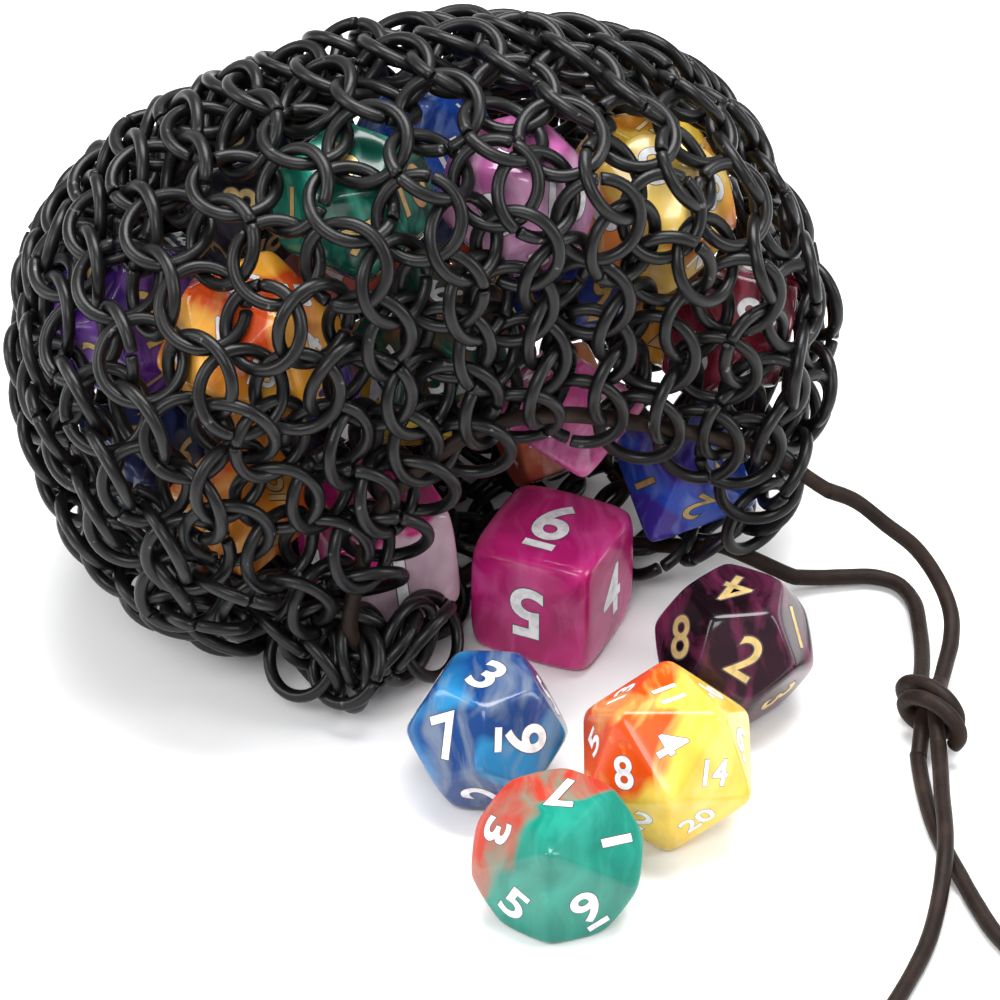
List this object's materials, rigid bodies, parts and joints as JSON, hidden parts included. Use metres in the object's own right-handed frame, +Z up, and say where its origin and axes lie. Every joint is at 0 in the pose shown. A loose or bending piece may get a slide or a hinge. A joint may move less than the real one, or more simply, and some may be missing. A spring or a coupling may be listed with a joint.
{
  "type": "drawstring dice bag",
  "caption": "Drawstring bag of linked black metal rings on its side, full of marbled dice, its mouth open and its leather lace knotted",
  "frame": {"origin": "on the surface that the bag rests on, under the middle of the bag", "axes": "+Z up; -Y is the side that the mouth faces, turned a little towards +X; +X is the side where the drawstring leaves"},
  "size_m": [0.1318, 0.1399, 0.078],
  "materials": {
    "black_rings": "black satin finish on round steel wire, bare pale specks where rings rub",
    "leather_lace": "round dark brown leather lace, waxed, fine cross grain",
    "die_amber": "polished marbled resin, painted engraved numerals",
    "die_apricot": "polished marbled resin, painted engraved numerals",
    "die_blue_pearl": "polished marbled resin, painted engraved numerals",
    "die_blue_violet": "polished marbled resin, painted engraved numerals",
    "die_cobalt": "polished marbled resin, painted engraved numerals",
    "die_coral": "polished marbled resin, painted engraved numerals",
    "die_dark_plum": "polished marbled resin, painted engraved numerals",
    "die_flame": "polished marbled resin, painted engraved numerals",
    "die_garnet_green": "polished marbled resin, painted engraved numerals",
    "die_gold_yellow": "polished marbled resin, painted engraved numerals",
    "die_graphite": "polished marbled resin, painted engraved numerals",
    "die_honey": "polished marbled resin, painted engraved numerals",
    "die_indigo": "polished marbled resin, painted engraved numerals",
    "die_lemon": "polished marbled resin, painted engraved numerals",
    "die_lilac": "polished marbled resin, painted engraved numerals",
    "die_magenta": "polished marbled resin, painted engraved numerals",
    "die_midnight": "polished marbled resin, painted engraved numerals",
    "die_onyx": "polished marbled resin, painted engraved numerals",
    "die_orange": "polished marbled resin, painted engraved numerals",
    "die_pink_grey": "polished marbled resin, painted engraved numerals",
    "die_plum": "polished marbled resin, painted engraved numerals",
    "die_rose": "polished marbled resin, painted engraved numerals",
    "die_royal_blue": "polished marbled resin, painted engraved numerals",
    "die_ruby": "polished marbled resin, painted engraved numerals",
    "die_sky": "polished marbled resin, painted engraved numerals",
    "die_slate": "polished marbled resin, painted engraved numerals",
    "die_tangerine": "polished marbled resin, painted engraved numerals",
    "die_teal": "polished marbled resin, painted engraved numerals",
    "die_teal_red": "polished marbled resin, painted engraved numerals",
    "die_violet": "polished marbled resin, painted engraved numerals",
    "die_wine": "polished marbled resin, painted engraved numerals"
  },
  "bodies": {
    "bag": {"cord_sill": "leather_lace", "die_apricot": "die_apricot", "die_blue_violet": "die_blue_violet", "die_cobalt": "die_cobalt", "die_coral": "die_coral", "die_flame": "die_flame", "die_garnet_green": "die_garnet_green", "die_gold_yellow": "die_gold_yellow", "die_graphite": "die_graphite", "die_honey": "die_honey", "die_indigo": "die_indigo", "die_lemon": "die_lemon", "die_lilac": "die_lilac", "die_magenta": "die_magenta", "die_midnight": "die_midnight", "die_onyx": "die_onyx", "die_orange": "die_orange", "die_pink_grey": "die_pink_grey", "die_plum": "die_plum", "die_rose": "die_rose", "die_royal_blue": "die_royal_blue", "die_ruby": "die_ruby", "die_sky": "die_sky", "die_slate": "die_slate", "die_tangerine": "die_tangerine", "die_teal": "die_teal", "die_violet": "die_violet", "die_wine": "die_wine", "mail_body": "black_rings", "mouth_ring_01": "black_rings", "mouth_ring_12": "black_rings", "strand_lower": "leather_lace", "strand_upper": "leather_lace"},
    "mouth_lip": {"mouth_ring_02": "black_rings", "mouth_ring_03": "black_rings", "mouth_ring_04": "black_rings", "mouth_ring_05": "black_rings", "mouth_ring_06": "black_rings", "mouth_ring_07": "black_rings", "mouth_ring_08": "black_rings", "mouth_ring_09": "black_rings", "mouth_ring_10": "black_rings", "mouth_ring_11": "black_rings", "cord_arch": "leather_lace"},
    "drawstring": {"cord_knot": "leather_lace", "tail_front": "leather_lace", "tail_rear": "leather_lace"},
    "rolled_teal": {"die_teal_red": "die_teal_red"},
    "rolled_blue": {"die_blue_pearl": "die_blue_pearl"},
    "rolled_amber": {"die_amber": "die_amber"},
    "rolled_plum": {"die_dark_plum": "die_dark_plum"}
  },
  "joints": [
    {"name": "drawstring_pull", "type": "slide", "parent": "bag", "child": "drawstring", "axis": [0.355, -0.9349, 0], "range_m": [0, 0.02]},
    {"name": "mouth_swing", "type": "hinge", "parent": "bag", "child": "mouth_lip", "pos_m": [-0.0055, -0.03, 0.003], "axis": [0.9353, 0.3539, 0], "range_deg": [0, 12]},
    {"name": "teal_roll", "type": "slide", "parent": "bag", "child": "rolled_teal", "axis": [0.0995, -0.995, 0], "range_m": [0, 0.015]},
    {"name": "blue_roll", "type": "slide", "parent": "bag", "child": "rolled_blue", "axis": [-0.9578, -0.2873, 0], "range_m": [0, 0.01]},
    {"name": "amber_roll", "type": "slide", "parent": "bag", "child": "rolled_amber", "axis": [0.8944, -0.4472, 0], "range_m": [0, 0.01]},
    {"name": "plum_roll", "type": "slide", "parent": "bag", "child": "rolled_plum", "axis": [0.995, -0.0995, 0], "range_m": [0, 0.004]}
  ],
  "couplings": [
    {"joint": "mouth_swing", "follows": "drawstring_pull", "rad_per_m": 10.47}
  ]
}
